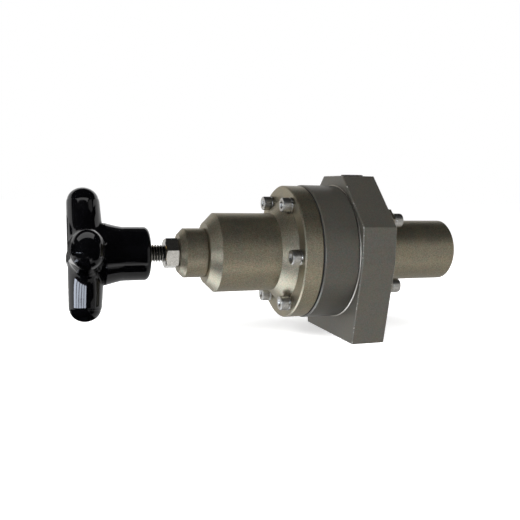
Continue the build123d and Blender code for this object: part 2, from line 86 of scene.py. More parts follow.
class REGULATOR_PG_metals(PropertyGroup):
    """Colours of the metal finishes."""

    bronze: FloatVectorProperty(
        name="Bronze anodise", description="Base colour of the bonnet, neck and rear cap",
        subtype="COLOR", size=3, min=0.0, max=1.0, default=(0.320, 0.286, 0.218))
    grey: FloatVectorProperty(
        name="Grey anodise", description="Base colour of the round body and the port plate",
        subtype="COLOR", size=3, min=0.0, max=1.0, default=(0.146, 0.139, 0.124))
    zinc: FloatVectorProperty(
        name="Zinc plate", description="Base colour of the screws, washers, nut and stud",
        subtype="COLOR", size=3, min=0.0, max=1.0, default=(0.53, 0.512, 0.472))
    brass: FloatVectorProperty(
        name="Brass", description="Base colour of the turned brass pieces",
        subtype="COLOR", size=3, min=0.0, max=1.0, default=(0.72, 0.50, 0.20))
    satin: FloatProperty(
        name="Anodise roughness", description="Mean roughness of the anodised surfaces",
        subtype="FACTOR", min=0.05, max=1.0, default=0.42)


class REGULATOR_PG_knob(PropertyGroup):
    """Sizes of the moulded cross knob."""

    lobe_reach: FloatProperty(
        name="Lobe reach", description="Distance from the valve axis to a lobe's rim",
        subtype="DISTANCE", unit="LENGTH", default=25.05 * MM)
    dome_height: FloatProperty(
        name="Dome height", description="Height of the domed tip above its rim",
        subtype="DISTANCE", unit="LENGTH", default=5.2 * MM)
    tip_thickness: FloatProperty(
        name="Tip thickness", description="Axial thickness of a lobe at its rim",
        subtype="DISTANCE", unit="LENGTH", default=13.7 * MM)
    tip_width: FloatProperty(
        name="Tip width", description="Width of a lobe at its rim",
        subtype="DISTANCE", unit="LENGTH", default=16.8 * MM)
    turn: FloatProperty(
        name="Turn", description="Angle of the first lobe from the far side, about the valve axis",
        subtype="ANGLE", unit="ROTATION", default=math.radians(-11.0))
    colour: FloatVectorProperty(
        name="Plastic colour", description="Base colour of the moulded plastic",
        subtype="COLOR", size=3, min=0.0, max=1.0, default=(0.0007, 0.0007, 0.0009))
    gloss: FloatProperty(
        name="Plastic roughness", description="Mean roughness of the moulded plastic",
        subtype="FACTOR", min=0.01, max=1.0, default=0.06)


class REGULATOR_PG_threads(PropertyGroup):
    """Sizes of the threads that are modelled."""

    stud_pitch: FloatProperty(
        name="Stud pitch", description="Thread pitch of the adjusting screw",
        subtype="DISTANCE", unit="LENGTH", default=1.25 * MM)
    stud_depth: FloatProperty(
        name="Stud thread depth", description="Depth of the adjusting screw's thread",
        subtype="DISTANCE", unit="LENGTH", default=0.70 * MM)
    port_pitch: FloatProperty(
        name="Port pitch", description="Thread pitch of the two ports",
        subtype="DISTANCE", unit="LENGTH", default=1.337 * MM)
    port_depth: FloatProperty(
        name="Port thread depth", description="Depth of the ports' thread",
        subtype="DISTANCE", unit="LENGTH", default=0.45 * MM)


class REGULATOR_PG_fasteners(PropertyGroup):
    """Sizes of the socket screws and their washers."""

    head_radius: FloatProperty(
        name="Head radius", description="Radius of a screw's head over the knurl",
        subtype="DISTANCE", unit="LENGTH", default=3.5 * MM)
    head_height: FloatProperty(
        name="Head height", description="Height of a screw's head",
        subtype="DISTANCE", unit="LENGTH", default=4.0 * MM)
    socket_flats: FloatProperty(
        name="Socket size", description="Hexagon socket across its flats",
        subtype="DISTANCE", unit="LENGTH", default=3.0 * MM)
    knurl_teeth: IntProperty(
        name="Knurl teeth", description="Teeth of the straight knurl round a head",
        min=12, max=72, default=36)
    washer_radius: FloatProperty(
        name="Washer radius", description="Outer radius of a split washer",
        subtype="DISTANCE", unit="LENGTH", default=3.65 * MM)
    washer_bore: FloatProperty(
        name="Washer bore", description="Inner radius of a split washer",
        subtype="DISTANCE", unit="LENGTH", default=2.25 * MM)


class REGULATOR_PG_studio(PropertyGroup):
    """Light levels of the stage."""

    backdrop: FloatProperty(
        name="Backdrop level", description="Strength of the white background as the camera sees it",
        min=0.0, max=2.0, default=1.0)
    ambient: FloatProperty(
        name="Ambient level", description="Strength of the soft light from all round",
        min=0.0, max=2.0, default=0.55)
    key: FloatProperty(
        name="Key light", description="Power of the large light at the left",
        subtype="POWER", unit="POWER", min=0.0, default=9.0)
    fill: FloatProperty(
        name="Top light", description="Power of the large light above",
        subtype="POWER", unit="POWER", min=0.0, default=5.0)


# Finishes

class Finish:
    """A procedural material, with the node set-ups that the finishes share."""

    def __init__(self, name, metallic=0.0):
        self.material = bpy.data.materials.new(name)
        self.material.use_nodes = True
        self.tree = self.material.node_tree
        self.shader = self.tree.nodes["Principled BSDF"]
        self.shader.inputs["Metallic"].default_value = metallic
        self.place = self.tree.nodes.new("ShaderNodeTexCoord").outputs["Object"]

    def link(self, source, target):
        """Joins a node's output to a socket."""
        self.tree.links.new(source, target)

    def feed(self, value, socket):
        """Joins a node's output to a socket, or sets the socket to a number or a colour."""
        if isinstance(value, bpy.types.NodeSocket):
            self.link(value, socket)
        else:
            socket.default_value = value

    def noise(self, size, detail=2.0, stretch=(1.0, 1.0, 1.0), shift=0.0):
        """Noise with features of a size in metres, drawn out along each axis stretched above 1."""
        mapping = self.tree.nodes.new("ShaderNodeMapping")
        mapping.inputs["Scale"].default_value = tuple(1.0 / (size * s) for s in stretch)
        mapping.inputs["Location"].default_value = (shift, shift * 0.7, shift * 1.3)
        texture = self.tree.nodes.new("ShaderNodeTexNoise")
        texture.inputs["Scale"].default_value = 1.0
        texture.inputs["Detail"].default_value = detail
        self.link(self.place, mapping.inputs["Vector"])
        self.link(mapping.outputs["Vector"], texture.inputs["Vector"])
        return texture.outputs["Fac"]

    def ramp(self, source, *stops):
        """Colours picked along a source value, each stop a position and a colour."""
        ramp = self.tree.nodes.new("ShaderNodeValToRGB")
        elements = ramp.color_ramp.elements
        while len(elements) < len(stops):
            elements.new(0.5)
        for element, (position, colour) in zip(elements, stops):
            element.position = position
            element.color = (*colour, 1.0)
        self.link(source, ramp.inputs["Fac"])
        return ramp.outputs["Color"]

    def spread(self, source, low, high, start=0.3, end=0.7):
        """A source value stretched between two limits."""
        spread = self.tree.nodes.new("ShaderNodeMapRange")
        limits = {"From Min": start, "From Max": end, "To Min": low, "To Max": high}
        for name, value in limits.items():
            spread.inputs[name].default_value = value
        self.link(source, spread.inputs["Value"])
        return spread.outputs["Result"]

    def maths(self, operation, first, second=None):
        """One arithmetic step on values or on a value and a number."""
        step = self.tree.nodes.new("ShaderNodeMath")
        step.operation = operation
        self.feed(first, step.inputs[0])
        if second is not None:
            self.feed(second, step.inputs[1])
        return step.outputs["Value"]

    def mix(self, factor, first, second, mode="MIX"):
        """Two colours mixed by a factor."""
        mix = self.tree.nodes.new("ShaderNodeMix")
        mix.data_type = "RGBA"
        mix.blend_type = mode
        self.feed(factor, mix.inputs["Factor"])
        self.feed(first, mix.inputs[6])
        self.feed(second, mix.inputs[7])
        return mix.outputs[2]

    def times(self, first, second):
        """Two colours multiplied."""
        return self.mix(1.0, first, second, mode="MULTIPLY")

    def axes(self):
        """Separate coordinates of the point, in metres."""
        split = self.tree.nodes.new("ShaderNodeSeparateXYZ")
        self.link(self.place, split.inputs["Vector"])
        return split.outputs

    def radius(self, height):
        """Distance from the valve axis at a height, in metres."""
        axes = self.axes()
        rise = self.maths("SUBTRACT", axes["Z"], height)
        squares = [self.maths("MULTIPLY", side, side) for side in (axes["Y"], rise)]
        return self.maths("SQRT", self.maths("ADD", *squares))

    def glow(self, colour, strength):
        """An even glow of a colour and a strength."""
        glow = self.tree.nodes.new("ShaderNodeEmission")
        glow.inputs["Color"].default_value = (*colour, 1.0)
        self.feed(strength, glow.inputs["Strength"])
        return glow.outputs["Emission"]

    def show(self, shader):
        """Makes a shader the material's surface."""
        self.link(shader, self.tree.nodes["Material Output"].inputs["Surface"])
        return self.material

    def finish(self, colour, roughness, height, depth):
        """Joins a colour, a roughness and a surface relief of a depth in metres to the shader."""
        self.link(colour, self.shader.inputs["Base Color"])
        self.link(roughness, self.shader.inputs["Roughness"])
        bump = self.tree.nodes.new("ShaderNodeBump")
        bump.inputs["Distance"].default_value = depth
        bump.inputs["Strength"].default_value = 1.0
        self.link(height, bump.inputs["Height"])
        self.link(bump.outputs["Normal"], self.shader.inputs["Normal"])
        return self.material


def shaded(colour, share):
    """A colour made lighter or darker by a share."""
    return tuple(min(1.0, channel * share) for channel in colour)


# Contrast of the specks and metallic share of the anodised pieces
BRONZE_SPECK, BRONZE_METALLIC = 0.24, 0.97
GREY_SPECK, GREY_METALLIC = 0.12, 0.82
BODY_SHADE = 0.84

# Bright nicks of the plate: their reach from an edge, the rim they leave out, and their colour
NICK_REACH = 0.42 * MM
NICK_RIM = 0.012 * MM
NICK_COLOUR = (0.62, 0.60, 0.55, 1.0)


def anodise(name, colour, roughness, speck_contrast, metallic):
    """Satin anodised aluminium: warm and cool specks, soft blotches, turning marks under it."""
    look = Finish(name, metallic=metallic)
    speck = look.noise(0.50 * MM, detail=2.0)
    hue = look.noise(0.95 * MM, detail=2.0, shift=13.0)
    blotch = look.noise(6.5 * MM, detail=2.0, shift=3.0)
    turning = look.noise(0.16 * MM, detail=1.0, stretch=(1.0, 55.0, 55.0), shift=7.0)
    fine, coarse = look.maths("MULTIPLY", speck, 0.80), look.maths("MULTIPLY", blotch, 0.20)
    grain = look.maths("ADD", fine, coarse)
    tint = look.ramp(
        grain,
        (0.36, shaded(colour, 1.0 - speck_contrast)),
        (0.50, colour),
        (0.64, shaded(colour, 1.0 + speck_contrast * 1.15)),
    )
    cast = look.ramp(hue, (0.40, (0.93, 1.02, 0.97)), (0.60, (1.07, 0.985, 0.97)))
    shade = look.ramp(blotch, (0.38, (1.0, 1.0, 1.0)), (0.62, (1.0, 0.97, 0.92)))
    rough = look.spread(grain, roughness - 0.05, roughness + 0.07)
    relief = look.maths("ADD", speck, look.maths("MULTIPLY", turning, 0.6))
    return look, look.times(look.times(tint, cast), shade), rough, relief


def bronze_finish(metals):
    """Bronze anodise of the bonnet, neck and rear cap."""
    look, tint, rough, relief = anodise(
        "bronze_anodise", metals.bronze, metals.satin, BRONZE_SPECK, BRONZE_METALLIC)
    return look.finish(tint, rough, relief, 0.010 * MM)


def grey_finish(metals):
    """Grey anodise of the round body, a little darker than the plate's."""
    colour = shaded(metals.grey, BODY_SHADE)
    look, tint, rough, relief = anodise(
        "grey_anodise", colour, metals.satin, GREY_SPECK, GREY_METALLIC)
    return look.finish(tint, rough, relief, 0.008 * MM)


def plate_finish(metals, front, back):
    """Grey anodise of the plate, rubbed bright in nicks along its edges."""
    look, tint, rough, relief = anodise(
        "grey_anodise_plate", metals.grey, metals.satin, GREY_SPECK, GREY_METALLIC)
    centre = (front + back) / 2
    half = (back - front) / 2
    distance = look.maths("ABSOLUTE", look.maths("SUBTRACT", look.axes()["X"], centre))
    inside = look.maths("GREATER_THAN", distance, half - NICK_REACH)
    outside = look.maths("LESS_THAN", distance, half - NICK_RIM)
    chips = look.noise(1.1 * MM, detail=4.0, shift=11.0)
    nicks = look.spread(chips, 0.0, 1.0, start=0.60, end=0.66)
    edge = look.maths("MULTIPLY", inside, outside)
    worn = look.maths("MULTIPLY", edge, look.spread(nicks, 0.05, 0.8, start=0.0, end=1.0))
    return look.finish(look.mix(worn, tint, NICK_COLOUR), rough, relief, 0.008 * MM)


def plated_finish(name, colour, roughness, stain, stain_size=0.9 * MM, roots=None):
    """Plated or bare metal: faint stains, fine scratches, uneven gloss, painted shade in thread
    roots.
    """
    look = Finish(name, metallic=1.0)
    cloud = look.noise(stain_size, detail=4.0)
    scratch = look.noise(0.09 * MM, detail=2.0, stretch=(14.0, 1.0, 1.0), shift=5.0)
    tint = look.ramp(
        cloud,
        (0.34, shaded(colour, 1.0 - stain)),
        (0.52, colour),
        (0.70, shaded(colour, 1.0 + stain * 0.4)),
    )
    gloss = look.spread(cloud, roughness * 1.25, roughness * 0.85)
    rough = look.maths("ADD", gloss, look.spread(scratch, 0.0, 0.07))
    if roots:
        # Painted shade: the colour darkens from the thread's crest towards its root
        depth = look.spread(look.radius(axis_height), 0.0, 1.0, start=roots[0], end=roots[1])
        root_shade = look.ramp(depth, (0.25, (0.07, 0.07, 0.07)), (0.80, (1.0, 1.0, 1.0)))
        tint = look.times(tint, root_shade)
    return look.finish(tint, rough, scratch, 0.004 * MM)


PLASTIC_IOR = 1.42
DUST_COLOUR = (0.012, 0.012, 0.013, 1.0)


def plastic_finish(settings):
    """Black moulded plastic with a high gloss, a faint orange peel and a little dust."""
    look = Finish("black_moulding")
    colour = settings.colour
    peel = look.noise(2.4 * MM, detail=1.0)
    dust = look.noise(0.35 * MM, detail=4.0, shift=9.0)
    haze = look.noise(6.0 * MM, detail=2.0, shift=4.0)
    specks = look.spread(dust, 0.0, 1.0, start=0.70, end=0.76)
    clean = look.ramp(haze, (0.35, colour), (0.65, shaded(colour, 1.5)))
    tint = look.mix(specks, clean, DUST_COLOUR)
    gloss = look.spread(haze, settings.gloss * 0.7, settings.gloss * 1.4)
    rough = look.maths("ADD", gloss, look.maths("MULTIPLY", specks, 0.3))
    look.shader.inputs["IOR"].default_value = PLASTIC_IOR
    return look.finish(tint, rough, peel, 0.006 * MM)


def soft_finish(name, colour, roughness, size):
    """Rubber, fibre or plastic of the seals, matt and slightly mottled."""
    look = Finish(name)
    grain = look.noise(size, detail=3.0)
    tint = look.ramp(grain, (0.35, shaded(colour, 0.7)), (0.65, shaded(colour, 1.25)))
    rough = look.spread(grain, roughness - 0.08, roughness + 0.08)
    return look.finish(tint, rough, grain, 0.02 * MM)


def dress(material, *nodes):
    """Gives carried-over solids a finish through their material slots."""
    for name in nodes:
        solid = frame["nodes"][name]
        if not solid.material_slots:
            raise RuntimeError(f"the solid {name} has no material slot")
        for slot in solid.material_slots:
            slot.material = material


# Mesh helpers

def new_piece(name, mesh_builder, material, body, slot, *replaced):
    """Turns a bmesh into a piece that stands for some solids.

    It rides on a body, or on none.
    """
    mesh = bpy.data.meshes.new(name)
    bmesh.ops.recalc_face_normals(mesh_builder, faces=mesh_builder.faces)
    mesh_builder.to_mesh(mesh)
    mesh_builder.free()
    mesh.materials.append(material)
    piece = bpy.data.objects.new(name, mesh)
    bpy.context.scene.collection.objects.link(piece)
    if body:
        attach(piece, body)
    if replaced:
        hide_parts(*replaced)
    return piece


def smooth(mesh_builder, angle=SHARP_EDGE):
    """Smooth shading with hard edges where faces meet at more than an angle."""
    for face in mesh_builder.faces:
        face.smooth = True
    for edge in mesh_builder.edges:
        edge.smooth = edge.is_boundary or edge.calc_face_angle(0.0) < angle


def ring_points(mesh_builder, place, station, radii, spin=0.0):
    """A ring of points round a line parallel to the valve axis, one radius for each point."""
    count = len(radii)
    angles = [spin + math.tau * i / count for i in range(count)]
    return [
        mesh_builder.verts.new((station, place[0] + r * math.cos(a), place[1] + r * math.sin(a)))
        for a, r in zip(angles, radii)
    ]


def band(first, second):
    """Corners of the four-sided faces between two rings of equal length."""
    following = zip(first[1:] + first[:1], second[1:] + second[:1])
    return [(a, b, c, d) for a, (b, c), d in zip(first, following, second)]


def skin(mesh_builder, rings, closed_ends=True):
    """Faces between rings of equal length, with one face at each end."""
    for first, second in zip(rings, rings[1:]):
        for corners in band(first, second):
            mesh_builder.faces.new(corners)
    if closed_ends:
        for ring in (rings[0], rings[-1]):
            mesh_builder.faces.new(ring)


# A thread's profile over one pitch: share of the pitch, and share of the thread's height
THREAD_ROWS = ((0.0, 1.0), (0.125, 1.0), (0.28, 0.52), (0.4375, 0.06), (0.5625, 0.0),
               (0.6875, 0.06), (0.84, 0.52))
RUN_OUT = 0.6 * MM
WELD_DISTANCE = 0.002 * MM
SLIVER_AREA = 1e-12


def thread(mesh_builder, place, start, end, pitch, crest, root, segments=48):
    """A real helical thread on a line parallel to the valve axis, its rows following the helix."""
    turns = int(math.ceil((end - start) / pitch)) + 2
    profile = [(turn + share, height) for turn in range(-1, turns) for share, height in THREAD_ROWS]
    points = []
    for share, height in profile:
        row = []
        for i in range(segments):
            angle = math.tau * i / segments
            station = start + (share + i / segments) * pitch
            station = min(max(station, start), end)
            run_out = min(1.0, (station - start) / RUN_OUT, (end - station) / RUN_OUT)
            radius = root + (crest - root) * height * max(0.0, run_out)
            across, up = radius * math.cos(angle), radius * math.sin(angle)
            row.append(mesh_builder.verts.new((station, place[0] + across, place[1] + up)))
        points.append(row)
    for n in range(len(points) - 1):
        for i in range(segments):
            m, j = (n, i + 1) if i + 1 < segments else (n + len(THREAD_ROWS), 0)
            if m + 1 < len(points):
                corners = (points[n][i], points[m][j], points[m + 1][j], points[n + 1][i])
                mesh_builder.faces.new(corners)
    bmesh.ops.remove_doubles(mesh_builder, verts=mesh_builder.verts, dist=WELD_DISTANCE)
    flat = [f for f in mesh_builder.faces if f.calc_area() < SLIVER_AREA]
    bmesh.ops.delete(mesh_builder, geom=flat, context="FACES_ONLY")


# Pieces

class REGULATOR_OT_anodised(Operator):
    """Finish the bronze and grey anodised pieces, and add the bevel at the body's foot, its bright
    colour a painted highlight
    """

    bl_idname = "regulator.anodised"
    bl_label = "Anodised body"

    def execute(self, context):
        metals = context.scene.regulator_metals
        dress(bronze_finish(metals), "spring_bonnet", "neck_bush", "rear_cap")
        dress(grey_finish(metals), "diaphragm_body")
        low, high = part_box("port_plate")
        dress(plate_finish(metals, low.x, high.x), "port_plate")
        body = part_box("diaphragm_body")
        builder = foot_bevel((body[1].z - body[0].z) / 2, low.x)
        # Painted highlight: the foot bevel gets a bright metal colour
        bright = plated_finish("painted_highlight_bevel", BEVEL_HIGHLIGHT_COLOUR, 0.34, 0.12)
        new_piece("body_foot_bevel", builder, bright, "housing", "grey_anodised")
        return {"FINISHED"}


# Colour of the painted highlight on the foot bevel, then the bevel's size, lip, sink and points
# round
BEVEL_HIGHLIGHT_COLOUR = (0.42, 0.385, 0.325)
BEVEL_SIZE = 0.42 * MM
BEVEL_LIP = 0.01 * MM
BEVEL_SINK = 0.08 * MM
BEVEL_POINTS = 192


def foot_bevel(radius, back):
    """The small bevel at the foot of the round body, where it meets the plate."""
    builder = bmesh.new()
    profile = (
        (back - BEVEL_SIZE, radius + BEVEL_LIP),
        (back - BEVEL_LIP, radius + BEVEL_SIZE),
        (back + BEVEL_SINK, radius + BEVEL_SIZE),
        (back + BEVEL_SINK, radius - BEVEL_SINK),
        (back - BEVEL_SIZE, radius - BEVEL_SINK),
    )
    rings = [ring_points(builder, axis_line, x, [r] * BEVEL_POINTS) for x, r in profile]
    skin(builder, [*rings, rings[0]], closed_ends=False)
    smooth(builder)
    return builder


class REGULATOR_OT_inner(Operator):
    """Finish the valve, the seats and the seals inside"""

    bl_idname = "regulator.inner"
    bl_label = "Inner pieces"

    def execute(self, context):
        metals = context.scene.regulator_metals
        dress(plated_finish("turned_steel", (0.52, 0.51, 0.49), 0.30, 0.10),
              "upper_spring_seat", "lower_spring_seat", "pressure_plate", "poppet")
        dress(plated_finish("blackened_steel", (0.10, 0.09, 0.085), 0.42, 0.20), "port_plug")
        dress(plated_finish("brass", metals.brass, 0.24, 0.14),
              "knob_insert", "stem_guide", "valve_seat", "guide_bush")
        dress(soft_finish("rubber", (0.012, 0.012, 0.012), 0.55, 0.5 * MM),
              "diaphragm", "body_o_ring", "cap_o_ring")
        dress(soft_finish("seat_plastic", (0.62, 0.60, 0.54), 0.45, 0.8 * MM), "soft_seat")
        dress(soft_finish("red_fibre", (0.26, 0.045, 0.030), 0.65, 0.25 * MM), "plug_washer")
        return {"FINISHED"}


# Springs: the body that moves each spring's front end, its wire in millimetres and its turns
SPRINGS = {
    "range_spring": ("spring_seat", 3.4, 5.0),
    "return_spring": ("poppet", 1.3, 6.0),
}
COIL_STEPS = 40
WIRE_SIDES = 12


class REGULATOR_OT_springs(Operator):
    """Coil the range spring and the return spring"""

    bl_idname = "regulator.springs"
    bl_label = "Coil springs"

    def execute(self, context):
        steel = plated_finish("spring_steel", (0.30, 0.29, 0.28), 0.34, 0.20)
        for name, (moving, wire, turns) in SPRINGS.items():
            low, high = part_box(name)
            wire_radius = wire * MM / 2
            builder = bmesh.new()
            coil(builder, low.x, high.x, (high.y - low.y) / 2 - wire_radius, wire_radius, turns)
            smooth(builder, ROUND_EDGE)
            piece = new_piece(f"coiled_{name}", builder, steel, None, "spring_steel", name)
            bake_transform(piece)
        return {"FINISHED"}


def coil(builder, start, end, coil_radius, wire_radius, turns):
    """A coil's wire between two stations, its end turns ground flat."""
    steps = int(turns * COIL_STEPS)
    lead = (end - start) / (math.tau * turns)
    slant = math.hypot(lead, coil_radius)
    rings = []
    for step in range(steps + 1):
        angle = math.tau * turns * step / steps
        middle = start + (end - start) * step / steps
        outward = Vector((0, math.cos(angle), math.sin(angle)))
        along = Vector((lead, -coil_radius * math.sin(angle), coil_radius * math.cos(angle)))
        across = (along / slant).cross(outward)
        ring = []
        for side in range(WIRE_SIDES):
            turn = math.tau * side / WIRE_SIDES
            out, over = coil_radius + wire_radius * math.cos(turn), wire_radius * math.sin(turn)
            point = outward * out + across * over
            station = min(max(middle + point.x, start), end)
            ring.append(builder.verts.new((station, point.y, axis_height + point.z)))
        rings.append(ring)
    skin(builder, rings)


class REGULATOR_OT_knob(Operator):
    """Mould the cross knob with its four domed lobes"""

    bl_idname = "regulator.knob"
    bl_label = "Cross knob"

    def execute(self, context):
        settings = context.scene.regulator_knob
        plastic = plastic_finish(settings)
        builder = cross_knob(settings)
        new_piece("moulded_knob", builder, plastic, "knob", "black_plastic", "cross_knob")
        return {"FINISHED"}


# The knob's shape, in millimetres from its face and from the valve axis
AXIAL_TAPER = 0.040
AXIAL_TUCK = 0.38
WIDTH_TAPER = 0.036
WIDTH_TUCK = 0.25
TUCK_LENGTH = 0.50
HUB_RADIUS = 12.35
HUB_FLARE_RADIUS = 14.2
HUB_FLARE_STATION = 16.15
HUB_STRAIGHT_STATION = 24.3
HUB_JOIN_STATION = 29.5
HUB_FLARE_POWER = 1.25
HUB_UNDERCUT = 0.9
HUB_ROUND = 2.4
HUB_ROUND_POINTS = 9
INSERT_BORE = 6.05
INSERT_DEPTH = 14.9
INSERT_CHAMFER = 0.3
LOBE_BLEND = 1.2
DOME_SINK = 0.9
RIM_BEVEL = 0.14
RIM_TOLERANCE = 1e-4
LEAST_REACH = 1e-9

# The knob's cage: stations and radii of its face, of the hollows between lobes and of the hub
SIDES = 8
FACE_STATION, FACE_RADIUS = -0.4, 6.0
HOLLOWS = ((1.6, 11.5), (7.4, 15.0), (14.4, 14.8))
HUB_CAGE = ((17.8, 15.2), (21.6, 14.1), (26.2, 13.4))

# A lobe's cage: distances of its rings from the axis, then that of the ring in its dome from
# the rim, each with how far it stands off the skin
LOBE_CAGE = ((15.8, 1.1), (20.5, 1.1))
RIM_SWELL = 1.1
DOME_RING, DOME_SWELL = 3.4, 0.82
CAGE_LEVELS = 4


def lobe_sizes(reach, settings):
    """Middle, half thickness and half width of a lobe at distances from the axis.

    The lobe is tucked in just before its rim.
    """
    inward = settings.lobe_reach / MM - reach
    tuck = 1 - np.exp(-np.maximum(inward, 0) / TUCK_LENGTH)
    middle = settings.tip_thickness / MM / 2 + AXIAL_TAPER * inward + AXIAL_TUCK
    half_axial = middle - AXIAL_TUCK * (1 - tuck)
    half_width = settings.tip_width / MM / 2 + WIDTH_TAPER * inward + WIDTH_TUCK * tuck
    return middle, half_axial, half_width


def knob_level(points, settings):
    """Level whose zero is the knob's skin: tapered lobes, blended together and into the hub."""
    axial, y, z = points[:, 0], np.abs(points[:, 1]), np.abs(points[:, 2])
    reach = (y ** 4 + z ** 4) ** 0.25
    across = y * z / np.maximum(reach, LEAST_REACH)
    middle, half_axial, half_width = lobe_sizes(reach, settings)
    from_middle = np.sqrt(((axial - middle) / half_axial) ** 2 + (across / half_width) ** 2)
    lobes = (from_middle - 1) * half_axial
    flare = HUB_STRAIGHT_STATION - HUB_FLARE_STATION
    share = np.clip((axial - HUB_FLARE_STATION) / flare, 0, 1)
    outline = HUB_RADIUS + (HUB_FLARE_RADIUS - HUB_RADIUS) * (1 - share) ** HUB_FLARE_POWER
    undercut = HUB_FLARE_RADIUS - (HUB_FLARE_STATION - axial) * HUB_UNDERCUT
    outline = np.where(axial < HUB_FLARE_STATION, undercut, outline)
    hub = np.maximum(np.hypot(y, z) - outline, HUB_FLARE_STATION / 2 - axial)
    near = np.maximum(LOBE_BLEND - np.abs(lobes - hub), 0) / LOBE_BLEND
    return np.minimum(lobes, hub) - near ** 2 * LOBE_BLEND / 4


def knob_cage(settings):
    """Coarse cage of the knob: four lobes of eight sides on a core, and the root of the hub."""
    rim = settings.lobe_reach / MM
    tip = rim + settings.dome_height / MM
    points, faces, rims = [], [], []

    def put(axial, angle, reach, sideways=0.0):
        c, s = math.cos(angle), math.sin(angle)
        points.append((axial, reach * c - sideways * s, reach * s + sideways * c))
        return len(points) - 1

    quarter = math.pi / 2
    centre = put(FACE_STATION, 0.0, 0.0)
    face_ring = [put(FACE_STATION, j * quarter / 2, FACE_RADIUS) for j in range(SIDES)]
    hollows = [[put(axial, (d + 0.5) * quarter, radius) for axial, radius in HOLLOWS]
               for d in range(4)]
    hub_rings = [[put(axial, j * quarter / 2, radius) for j in range(SIDES)]
                 for axial, radius in HUB_CAGE]
    lobe_cage = (*LOBE_CAGE, (rim, RIM_SWELL), (rim + DOME_RING, DOME_SWELL))
    for k in range(4):
        rings = []
        for reach, swell in lobe_cage:
            middle, half_axial, half_width = lobe_sizes(min(reach, rim), settings)
            ring = []
            for i in range(SIDES):
                turn = i * math.pi / 4
                axial = middle + half_axial * swell * math.cos(turn)
                ring.append(put(axial, k * quarter, reach, swell * half_width * math.sin(turn)))
            rings.append(ring)
        for first, second in zip(rings, rings[1:]):
            faces += band(first, second)
        pole = put(lobe_sizes(rim, settings)[0], k * quarter, tip)
        dome_ring, rim_ring = rings[-1], rings[-2]
        faces += [(dome_ring[i], dome_ring[(i + 1) % SIDES], pole) for i in range(SIDES)]
        rims += [(rim_ring[i], rim_ring[(i + 1) % SIDES]) for i in range(SIDES)]
        root = rings[0]
        after, before = hollows[k], hollows[k - 1]
        even, odd, last = 2 * k, (2 * k + 1) % SIDES, (2 * k - 1) % SIDES
        faces += [
            (root[2], root[1], after[2], after[1]), (root[3], root[2], after[1], after[0]),
            (root[6], root[7], before[2], before[1]), (root[5], root[6], before[1], before[0]),
            (root[4], root[3], after[0], face_ring[odd], face_ring[even]),
            (root[5], root[4], face_ring[even], face_ring[last], before[0]),
            (root[1], root[0], hub_rings[0][even], hub_rings[0][odd], after[2]),
            (root[0], root[7], before[2], hub_rings[0][last], hub_rings[0][even]),
            (centre, face_ring[last], face_ring[even], face_ring[odd]),
        ]
    for first, second in zip(hub_rings, hub_rings[1:]):
        faces += band(first, second)
    return points, faces, rims


def cross_knob(settings):
    """The knob's skin: the cage subdivided, then drawn onto the exact lobes, domes and hub."""
    points, faces, rims = knob_cage(settings)
    cage = bpy.data.meshes.new("knob_cage")
    cage.from_pydata(points, [], faces)
    crease = cage.attributes.new("crease_edge", "FLOAT", "EDGE")
    wanted = {frozenset(pair) for pair in rims}
    for edge in cage.edges:
        crease.data[edge.index].value = 1.0 if frozenset(edge.vertices) in wanted else 0.0
    carrier = bpy.data.objects.new("knob_cage", cage)
    bpy.context.scene.collection.objects.link(carrier)
    divide = carrier.modifiers.new("divide", "SUBSURF")
    divide.levels = CAGE_LEVELS
    divide.render_levels = CAGE_LEVELS
    bpy.context.view_layer.update()
    divided = carrier.evaluated_get(bpy.context.evaluated_depsgraph_get())
    fine = bpy.data.meshes.new_from_object(divided)
    bpy.data.objects.remove(carrier)
    skin_points = np.array([v.co for v in fine.vertices], float)
    for vertex, point in zip(fine.vertices, draw_onto_knob(skin_points, settings)):
        vertex.co = point
    builder = bmesh.new()
    builder.from_mesh(fine)
    finish_hub(builder)
    rim = settings.lobe_reach / MM
    edges = [e for e in builder.edges
             if all(abs(max(abs(v.co.y), abs(v.co.z)) - rim) < RIM_TOLERANCE for v in e.verts)]
    bmesh.ops.bevel(
        builder, geom=edges, offset=RIM_BEVEL, segments=3, profile=0.5, affect="EDGES")
    place = Matrix.Translation((knob_face, 0, axis_height)) @ Matrix.Rotation(settings.turn, 4, "X")
    bmesh.ops.transform(builder, matrix=place @ Matrix.Scale(MM, 4), verts=builder.verts)
    bmesh.ops.recalc_face_normals(builder, faces=builder.faces)
    smooth(builder, ROUND_EDGE)
    return builder


# Steps that draw the cage onto the skin: their number, the share of the way that each goes,
# the nudge that finds the slope, and the least slope that is divided by
DRAW_STEPS = 10
DRAW_SHARE = 0.9
DRAW_NUDGE = 1e-4
LEAST_SLOPE = 1e-6


